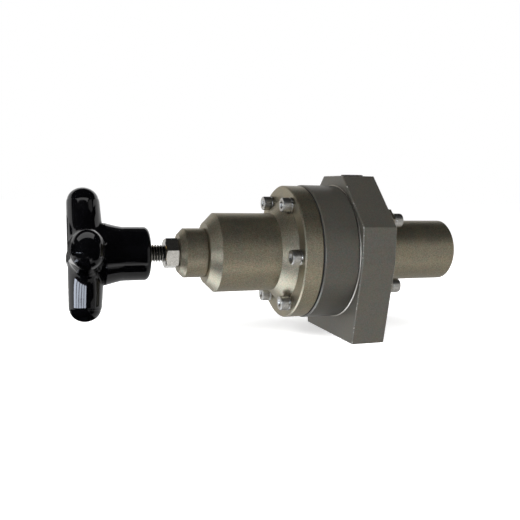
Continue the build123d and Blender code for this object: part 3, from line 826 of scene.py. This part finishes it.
def draw_onto_knob(points, settings):
    """Moves points onto the knob's skin, those beyond a lobe's rim onto its dome."""
    rim = settings.lobe_reach / MM
    reach = np.maximum(np.abs(points[:, 1]), np.abs(points[:, 2]))
    on_rim = np.abs(reach - rim) < RIM_TOLERANCE
    on_dome = (reach > rim) & ~on_rim
    body = ~on_dome & ~on_rim
    moved = points.copy()
    loose = moved[body]
    for _ in range(DRAW_STEPS):
        level = knob_level(loose, settings)
        slope = np.empty_like(loose)
        for axis, nudge in enumerate(np.eye(3) * DRAW_NUDGE):
            rise = knob_level(loose + nudge, settings) - knob_level(loose - nudge, settings)
            slope[:, axis] = rise / (2 * DRAW_NUDGE)
        steep = np.maximum((slope ** 2).sum(axis=1), LEAST_SLOPE)
        loose = loose - DRAW_SHARE * slope * (level / steep)[:, None]
    moved[body] = loose
    middle, half_axial, half_width = lobe_sizes(rim, settings)
    dome = settings.dome_height / MM + DOME_SINK
    swell = 1 / math.sqrt(1 - (DOME_SINK / dome) ** 2)
    for index in np.flatnonzero(on_dome | on_rim):
        axial, y, z = moved[index]
        along_y = abs(y) > abs(z)
        out, side = (y, z) if along_y else (z, y)
        sign = math.copysign(1.0, out)
        rise = (abs(out) - rim + DOME_SINK) / dome
        parts = np.array([(axial - middle) / half_axial, side / half_width, rise])
        if on_rim[index]:
            scale = 1 / math.hypot(parts[0], parts[1])
            axial, side = middle + (axial - middle) * scale, side * scale
        else:
            parts[:2] /= swell
            parts /= np.linalg.norm(parts)
            axial = middle + half_axial * parts[0] * swell
            side = half_width * swell * parts[1]
            out = sign * (rim - DOME_SINK + dome * parts[2])
        moved[index] = (axial, out, side) if along_y else (axial, side, out)
    return moved


def finish_hub(builder):
    """Carries the open end of the hub on to its rounded end and down the insert's bore."""
    boundary = [e for e in builder.edges if e.is_boundary]
    loop = sorted({v for e in boundary for v in e.verts}, key=lambda v: math.atan2(v.co.z, v.co.y))
    angles = [math.atan2(v.co.z, v.co.y) for v in loop]
    end = (hub_end - knob_face) / MM
    corner = end - HUB_ROUND
    arc = [(corner + HUB_ROUND * math.sin(t), HUB_RADIUS - HUB_ROUND + HUB_ROUND * math.cos(t))
           for t in np.linspace(0, math.pi / 2, HUB_ROUND_POINTS)]
    stations = [
        (HUB_JOIN_STATION, HUB_RADIUS),
        *arc,
        (end, INSERT_BORE + INSERT_CHAMFER),
        (end - INSERT_CHAMFER, INSERT_BORE),
        (end - INSERT_DEPTH, INSERT_BORE),
    ]
    rings = [loop]
    for station, radius in stations:
        rings.append([builder.verts.new((station, radius * math.cos(a), radius * math.sin(a)))
                      for a in angles])
    skin(builder, rings, closed_ends=False)
    builder.faces.new(rings[-1])


# The plain end of the adjusting screw: distance from the end and radius, in millimetres
STUD_POINT = ((3.8, 3.2), (3.0, 2.9), (0.4, 2.9), (0.0, 2.5))
STUD_SIDES = 40


class REGULATOR_OT_stud(Operator):
    """Cut the thread of the adjusting screw and dress the lock nut"""

    bl_idname = "regulator.stud"
    bl_label = "Adjusting screw and nut"

    def execute(self, context):
        threads = context.scene.regulator_threads
        metals = context.scene.regulator_metals
        low, high = screw_box
        crest = (high.z - low.z) / 2
        root = crest - threads.stud_depth
        # The stud's finish paints shade into its thread roots
        zinc = plated_finish("zinc_plate_stud", shaded(metals.zinc, 1.15), 0.24, 0.16,
                             roots=(root, crest))
        profile = [(high.x - back * MM, radius * MM) for back, radius in STUD_POINT]
        builder = bmesh.new()
        thread(builder, axis_line, low.x, profile[0][0], threads.stud_pitch, crest, root)
        rims = [e for e in builder.edges if e.is_boundary]
        bmesh.ops.holes_fill(builder, edges=rims, sides=0)
        skin(builder, [ring_points(builder, axis_line, x, [r] * STUD_SIDES) for x, r in profile])
        smooth(builder, THREAD_EDGE)
        new_piece("threaded_stud", builder, zinc, "knob", "zinc_steel", "adjusting_screw")
        dress(plated_finish("zinc_plate_nut", metals.zinc, 0.16, 0.12, 1.6 * MM), "lock_nut")
        return {"FINISHED"}


class REGULATOR_OT_screws(Operator):
    """Make the knurled socket head screws of the flange and of the rear cap"""

    bl_idname = "regulator.screws"
    bl_label = "Socket head screws"

    def execute(self, context):
        settings = context.scene.regulator_fasteners
        metals = context.scene.regulator_metals
        zinc = plated_finish("zinc_plate_screw", metals.zinc, 0.33, 0.20, 0.7 * MM)
        for name, washers, direction in (("bonnet_screws", "bonnet_lock_washers", 1),
                                         ("cap_screws", "cap_lock_washers", -1)):
            low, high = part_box(name)
            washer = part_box(washers)
            seat = washer[0].x if direction > 0 else washer[1].x
            tip = high.x if direction > 0 else low.x
            builder = bmesh.new()
            for place in bolt_places(name, settings.head_radius):
                socket_screw(builder, place, seat, direction, abs(tip - seat), settings)
            smooth(builder)
            new_piece(f"knurled_{name}", builder, zinc, "housing", "zinc_steel", name)
        return {"FINISHED"}


def bolt_places(name, head_radius):
    """Places of a group of screws: six on a circle at the flange, four at the rear cap."""
    low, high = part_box(name)
    reach = (high.y - low.y) / 2 - head_radius
    if name == "bonnet_screws":
        angles = [math.radians(60.0 * i) for i in range(6)]
        return [(reach * math.cos(a), axis_height + reach * math.sin(a)) for a in angles]
    return [(y, axis_height + z) for y in (-reach, reach) for z in (-reach, reach)]


SHANK_RADIUS = 2.0 * MM
SHANK_CHAMFER = 0.5 * MM
KNURL_GROOVE = 0.11 * MM
SOCKET_MOUTH = 1.24

# Each screw is left turned by its own angle, in radians for a metre across the valve
SCREW_SPIN = 900.0


def socket_screw(builder, place, seat, direction, length, settings):
    """One screw: a knurled head with a hexagon socket, and its shank."""
    count = settings.knurl_teeth * 2
    radius, height = settings.head_radius, settings.head_height
    half_flats = settings.socket_flats / 2
    knurl = [radius - KNURL_GROOVE * (i % 2) for i in range(count)]
    plain = radius - KNURL_GROOVE * 0.8
    side = math.pi / 3
    hexagon = [half_flats / math.cos((i * math.tau / count) % side - side / 2)
               for i in range(count)]
    # Heights over the seat and radii, from the shank's end to the bottom of the socket
    profile = (
        (-length, SHANK_RADIUS - SHANK_CHAMFER),
        (-length + SHANK_CHAMFER, SHANK_RADIUS),
        (0.0, SHANK_RADIUS),
        (0.0, plain - 0.12 * MM),
        (0.12 * MM, plain),
        (0.42 * MM, knurl),
        (height - 0.75 * MM, knurl),
        (height - 0.48 * MM, plain),
        (height - 0.20 * MM, plain - 0.06 * MM),
        (height - 0.05 * MM, plain - 0.22 * MM),
        (height, plain - 0.45 * MM),
        (height, half_flats * SOCKET_MOUTH),
        (height - 0.18 * MM, hexagon),
        (height - 2.0 * MM, hexagon),
        (height - 2.5 * MM, 0.25 * MM),
    )
    rings = []
    for rise, radii in profile:
        radii = radii if isinstance(radii, list) else [radii] * count
        station = seat - direction * rise
        rings.append(ring_points(builder, place, station, radii, place[0] * SCREW_SPIN))
    skin(builder, rings)


class REGULATOR_OT_washers(Operator):
    """Make the split washers under the screws"""

    bl_idname = "regulator.washers"
    bl_label = "Split washers"

    def execute(self, context):
        settings = context.scene.regulator_fasteners
        colour = shaded(context.scene.regulator_metals.zinc, 0.88)
        zinc = plated_finish("zinc_plate_washer", colour, 0.26, 0.22, 0.6 * MM)
        for name, screws in (("bonnet_lock_washers", "bonnet_screws"),
                             ("cap_lock_washers", "cap_screws")):
            low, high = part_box(name)
            builder = bmesh.new()
            for index, place in enumerate(bolt_places(screws, settings.head_radius)):
                gap = math.radians(FIRST_GAP + NEXT_GAP * index)
                split_washer(builder, place, low.x, high.x, gap, settings)
            smooth(builder)
            new_piece(f"split_{name}", builder, zinc, "housing", "zinc_steel", name)
        return {"FINISHED"}


# Where the washers' gaps lie, in degrees, then a gap's half width, the slant of its cut and the
# washer's rounded edge
FIRST_GAP, NEXT_GAP = 78.0, 41.0
HALF_GAP = math.radians(6.0)
GAP_SLANT = math.radians(9.0)
WASHER_EDGE = 0.10 * MM
WASHER_STEPS = 56


def split_washer(builder, place, front, back, gap_angle, settings):
    """One split washer, its cut slanting across the thickness."""
    inner, outer, edge = settings.washer_bore, settings.washer_radius, WASHER_EDGE
    corners = (
        (front, inner + edge), (front, outer - edge), (front + edge, outer), (back - edge, outer),
        (back, outer - edge), (back, inner + edge), (back - edge, inner), (front + edge, inner),
    )
    rings = []
    for step in range(WASHER_STEPS + 1):
        share = step / WASHER_STEPS
        ring = []
        for station, radius in corners:
            lean = GAP_SLANT * ((station - front) / (back - front) - 0.5)
            angle = gap_angle + lean + HALF_GAP + (math.tau - 2 * HALF_GAP) * share
            across, up = radius * math.cos(angle), radius * math.sin(angle)
            ring.append(builder.verts.new((station, place[0] + across, place[1] + up)))
        rings.append(ring)
    skin(builder, rings)


# Where a port's thread starts below its mouth, where it ends above its bottom, and how far its
# roots go into the wall
PORT_LEAD_IN = 0.6 * MM
PORT_LEAD_OUT = 0.8 * MM
PORT_SINK = 0.02 * MM
PORT_SIDES = 56


class REGULATOR_OT_port_threads(Operator):
    """Thread the two ports"""

    bl_idname = "regulator.port_threads"
    bl_label = "Port threads"

    def execute(self, context):
        settings = context.scene.regulator_threads
        metals = context.scene.regulator_metals
        bare = plated_finish("machined_aluminium", shaded(metals.grey, 2.2), 0.30, 0.10)
        mounts = {mount["name"]: mount for mount in frame["record"]["mounts"]}
        for name in ("outlet_port", "inlet_port"):
            mount = mounts[name]
            bore = mount["dims"]["r_mm"] * MM
            length = mount["dims"]["length_mm"] * MM
            axis = Vector(mount["axis"])
            builder = bmesh.new()
            thread(builder, (0.0, 0.0), PORT_LEAD_IN, length - PORT_LEAD_OUT, settings.port_pitch,
                   bore - settings.port_depth, bore + PORT_SINK, segments=PORT_SIDES)
            turn = Vector((1, 0, 0)).rotation_difference(-axis).to_matrix().to_4x4()
            place = Matrix.Translation(Vector(mount["pos_m"])) @ turn
            bmesh.ops.transform(builder, matrix=place, verts=builder.verts)
            smooth(builder, THREAD_EDGE)
            new_piece(f"{name}_thread", builder, bare, "housing", "grey_anodised")
        return {"FINISHED"}


# Cards and windows that the gloss mirrors: name, azimuth from the front towards the rear cap,
# elevation, distance, width, height and level
CARDS = (
    ("overhead_card", 0.0, 82.0, 0.85, 5.0, 2.8, 0.03),
    ("left_flag", -44.0, 14.0, 1.35, 4.2, 2.4, 0.03),
    ("front_card", 40.0, 0.0, 1.45, 1.7, 1.6, 0.52),
    ("ground_card", 0.0, -90.0, 1.10, 5.0, 5.0, 0.52),
    ("bench_strip", 8.0, -41.0, 0.90, 1.1, 0.16, 1.3),
    ("back_card", -155.0, 0.0, 1.30, 1.4, 1.5, 0.75),
    ("window_1", -14.0, 1.5, 1.10, 0.29, 0.23, 13.0),
    ("window_2", -33.0, 0.5, 1.10, 0.29, 0.21, 13.0),
    ("window_3", -52.0, -0.5, 1.10, 0.29, 0.19, 13.0),
    ("window_4", -71.0, -1.5, 1.10, 0.29, 0.17, 13.0),
    ("window_5", -90.0, -2.5, 1.10, 0.29, 0.15, 13.0),
    ("low_window", -109.0, -52.0, 0.95, 0.80, 0.80, 3.3),
)
CARD_CENTRE_X = -0.06

# Level of a dark flag
DARK = 0.006

# Small flags close to the knob, all dark but the strip that its front dome mirrors: name,
# centre, facing, width, height and level
FLAGS = (
    ("knob_flag", (-0.0955, -0.100, 0.077), (0, 1, 0), 0.065, 0.15, DARK),
    ("dome_front_flag", (-0.172, -0.095, 0.048), (0, 1, 0), 0.088, 0.018, DARK),
    ("dome_side_flag", (-0.205, -0.045, 0.048), (1, 0, 0), 0.105, 0.018, DARK),
    ("hub_ground_flag", (-0.107, -0.032, 0.002), (0, 0, 1), 0.026, 0.032, DARK),
    ("knob_ground_flag", (-0.1515, -0.04, 0.002), (0, 0, 1), 0.067, 0.14, DARK),
    ("dome_strip", (-0.1425, -0.032, 0.090), (0, 0, -1), 0.085, 0.030, 2.0),
    ("dome_strip_shield", (-0.0985, -0.032, 0.0825), (1, 0, 0), 0.046, 0.017, DARK),
    ("dome_left_flag", (-0.165, -0.006, 0.0465), (1, 0, 0), 0.052, 0.023, DARK),
    ("dome_back_flag", (-0.1485, 0.045, 0.0455), (0, -1, 0), 0.037, 0.025, 0.08),
    ("dome_right_flag", (-0.1065, -0.039, 0.050), (-0.571, 0.821, 0), 0.028, 0.050, DARK),
    ("dome_top_flag", (-0.132, -0.004, 0.080), (0, 0, -1), 0.050, 0.026, DARK),
    ("lobe_root_flag", (-0.131, -0.0167, 0.066), (0, 0, -1), 0.038, 0.0135, DARK),
    ("hub_top_flag", (-0.1035, -0.0225, 0.068), (0, 0, -1), 0.017, 0.045, DARK),
)

# Colours of the windows and of the other cards, and of the background
DAYLIGHT = (0.90, 0.99, 1.14)
LAMPLIGHT = (1.0, 1.0, 1.0)
WHITE = (1.0, 1.0, 1.0, 1.0)

FLOOR_SIZE = 6.0
FLOOR_GLOW = 0.55

# The camera that fits the photograph's edges: its lens and sensor in millimetres, its place,
# and its turn about X, Y and Z in degrees
LENS, SENSOR_WIDTH = 43.685, 36.0
CAMERA_PLACE = (-0.14714, -0.29198, 0.07338)
CAMERA_TURN = (83.5383, -1.0694, -18.8696)

# Soft lights: place, width and height, and the point that they face
KEY_LIGHT = ((-0.62, -0.34, 0.46), 0.50, 0.30)
TOP_LIGHT = ((0.10, -0.55, 0.95), 0.80, 0.60)
LIGHT_AIM = (-0.04, 0.0, axis_height)


class REGULATOR_OT_stage(Operator):
    """Set the floor, the soft lights, the cards that shade the gloss, and the camera"""

    bl_idname = "regulator.stage"
    bl_label = "Stage"

    def execute(self, context):
        studio = context.scene.regulator_studio
        scene = context.scene
        scene.view_settings.view_transform = "Standard"
        floor = sheet("floor", Vector((0, 0, 0)), Vector((0, 0, 1)), FLOOR_SIZE, FLOOR_SIZE)
        floor.data.materials.append(floor_material())
        floor.visible_glossy = False
        for name, azimuth, elevation, distance, width, height, level in CARDS:
            side, rise = math.radians(azimuth), math.radians(elevation)
            flat = math.cos(rise)
            toward = Vector((math.sin(side) * flat, -math.cos(side) * flat, math.sin(rise)))
            centre = toward * distance + Vector((CARD_CENTRE_X, 0, axis_height))
            colour = DAYLIGHT if "window" in name else LAMPLIGHT
            gloss_card(name, centre, -toward, width, height, level, colour)
        for name, centre, facing, width, height, level in FLAGS:
            gloss_card(name, Vector(centre), Vector(facing), width, height, level, LAMPLIGHT)
        world = bpy.data.worlds.new("studio")
        scene.world = world
        world.use_nodes = True
        white_background(world.node_tree, studio)
        soft_light("key_light", *KEY_LIGHT, studio.key)
        soft_light("top_light", *TOP_LIGHT, studio.fill)
        camera = bpy.data.cameras.new("photo_camera")
        camera.sensor_width = SENSOR_WIDTH
        camera.lens = LENS
        holder = bpy.data.objects.new("photo_camera", camera)
        turn = Euler([math.radians(angle) for angle in CAMERA_TURN])
        holder.matrix_world = Matrix.Translation(CAMERA_PLACE) @ turn.to_matrix().to_4x4()
        scene.collection.objects.link(holder)
        scene.camera = holder
        return {"FINISHED"}


def gloss_card(name, centre, facing, width, height, level, colour):
    """A glowing or dark card that only the gloss mirrors."""
    card = sheet(name, centre, facing, width, height)
    card.data.materials.append(card_material(name, level, colour))
    card.visible_camera = False
    card.visible_diffuse = False
    card.visible_shadow = False


def sheet(name, centre, facing, width, height):
    """A flat stage sheet that faces a direction."""
    builder = bmesh.new()
    bmesh.ops.create_grid(builder, x_segments=1, y_segments=1, size=0.5)
    turn = facing.to_track_quat("Z", "Y").to_matrix().to_4x4()
    scale = Matrix.Diagonal((width, height, 1.0, 1.0))
    place = Matrix.Translation(centre) @ turn @ scale
    bmesh.ops.transform(builder, matrix=place, verts=builder.verts)
    mesh = bpy.data.meshes.new(name)
    builder.to_mesh(mesh)
    builder.free()
    thing = bpy.data.objects.new(name, mesh)
    bpy.context.scene.collection.objects.link(thing)
    return thing


def seen_directly(tree):
    """1 for rays that show the background: the camera's, glossy ones and those through glass."""
    rays = tree.nodes.new("ShaderNodeLightPath").outputs
    total = rays["Is Camera Ray"]
    for name in ("Is Glossy Ray", "Is Transmission Ray"):
        step = tree.nodes.new("ShaderNodeMath")
        step.operation = "MAXIMUM"
        tree.links.new(total, step.inputs[0])
        tree.links.new(rays[name], step.inputs[1])
        total = step.outputs["Value"]
    return total


def white_background(tree, studio):
    """World that is plain white where it is seen, and a soft even light otherwise."""
    tree.nodes.clear()
    output = tree.nodes.new("ShaderNodeOutputWorld")
    mix = tree.nodes.new("ShaderNodeMixShader")
    tree.links.new(seen_directly(tree), mix.inputs["Fac"])
    for socket, strength in ((mix.inputs[1], studio.ambient), (mix.inputs[2], studio.backdrop)):
        light = tree.nodes.new("ShaderNodeBackground")
        light.inputs["Color"].default_value = WHITE
        light.inputs["Strength"].default_value = strength
        tree.links.new(light.outputs["Background"], socket)
    tree.links.new(mix.outputs["Shader"], output.inputs["Surface"])


def floor_material():
    """Pale floor that melts into the white background and keeps a soft shadow."""
    look = Finish("pale_floor")
    grain = look.noise(40 * MM, detail=3.0)
    tint = look.ramp(grain, (0.3, (0.80, 0.80, 0.80)), (0.7, (0.84, 0.84, 0.84)))
    look.finish(tint, look.spread(grain, 0.75, 0.85), grain, 0.05 * MM)
    look.shader.inputs["Specular IOR Level"].default_value = 0.0
    glow = look.glow(LAMPLIGHT, look.maths("MULTIPLY", seen_directly(look.tree), FLOOR_GLOW))
    total = look.tree.nodes.new("ShaderNodeAddShader")
    look.link(look.shader.outputs["BSDF"], total.inputs[0])
    look.link(glow, total.inputs[1])
    return look.show(total.outputs["Shader"])


def card_material(name, level, colour):
    """Even glow of a card or window that only the gloss mirrors, and that is clear from behind."""
    look = Finish(name)
    grain = look.noise(60 * MM, detail=1.0)
    glow = look.glow(colour, look.spread(grain, level * 0.97, level * 1.03))
    sides = look.tree.nodes.new("ShaderNodeNewGeometry")
    clear = look.tree.nodes.new("ShaderNodeBsdfTransparent")
    choice = look.tree.nodes.new("ShaderNodeMixShader")
    look.link(sides.outputs["Backfacing"], choice.inputs[0])
    look.link(glow, choice.inputs[1])
    look.link(clear.outputs["BSDF"], choice.inputs[2])
    return look.show(choice.outputs["Shader"])


def soft_light(name, place, width, height, power):
    """A rectangular light that faces the valve and that no gloss mirrors."""
    lamp = bpy.data.lights.new(name, "AREA")
    lamp.shape = "RECTANGLE"
    lamp.size = width
    lamp.size_y = height
    lamp.energy = power
    holder = bpy.data.objects.new(name, lamp)
    turn = (Vector(LIGHT_AIM) - Vector(place)).to_track_quat("-Z", "Y").to_matrix().to_4x4()
    holder.matrix_world = Matrix.Translation(place) @ turn
    holder.visible_glossy = False
    bpy.context.scene.collection.objects.link(holder)


class REGULATOR_PT_sidebar(Panel):
    """Sizes, finishes and steps of the pressure regulator valve"""

    bl_idname = "REGULATOR_PT_sidebar"
    bl_label = "Pressure regulator"
    bl_space_type = "VIEW_3D"
    bl_region_type = "UI"
    bl_category = "Regulator"

    def draw(self, context):
        layout = self.layout
        for group in GROUPS:
            settings = getattr(context.scene, GROUPS[group])
            box = layout.box()
            box.label(text=group.__doc__)
            for name in group.__annotations__:
                box.prop(settings, name)
        for step in STEPS:
            layout.operator(step.bl_idname)


GROUPS = {
    REGULATOR_PG_metals: "regulator_metals",
    REGULATOR_PG_knob: "regulator_knob",
    REGULATOR_PG_threads: "regulator_threads",
    REGULATOR_PG_fasteners: "regulator_fasteners",
    REGULATOR_PG_studio: "regulator_studio",
}
STEPS = (
    REGULATOR_OT_stage,
    REGULATOR_OT_anodised,
    REGULATOR_OT_inner,
    REGULATOR_OT_springs,
    REGULATOR_OT_knob,
    REGULATOR_OT_stud,
    REGULATOR_OT_screws,
    REGULATOR_OT_washers,
    REGULATOR_OT_port_threads,
)


def register():
    for group, name in GROUPS.items():
        bpy.utils.register_class(group)
        setattr(bpy.types.Scene, name, PointerProperty(type=group))
    for step in STEPS:
        bpy.utils.register_class(step)
    bpy.utils.register_class(REGULATOR_PT_sidebar)


def unregister():
    bpy.utils.unregister_class(REGULATOR_PT_sidebar)
    for step in reversed(STEPS):
        bpy.utils.unregister_class(step)
    for group, name in GROUPS.items():
        delattr(bpy.types.Scene, name)
        bpy.utils.unregister_class(group)


def main():
    register()
    bpy.ops.regulator.stage()
    bpy.ops.regulator.anodised()
    bpy.ops.regulator.inner()
    bpy.ops.regulator.springs()
    bpy.ops.regulator.knob()
    bpy.ops.regulator.stud()
    bpy.ops.regulator.screws()
    bpy.ops.regulator.washers()
    bpy.ops.regulator.port_threads()


if __name__ == "__main__":
    main()
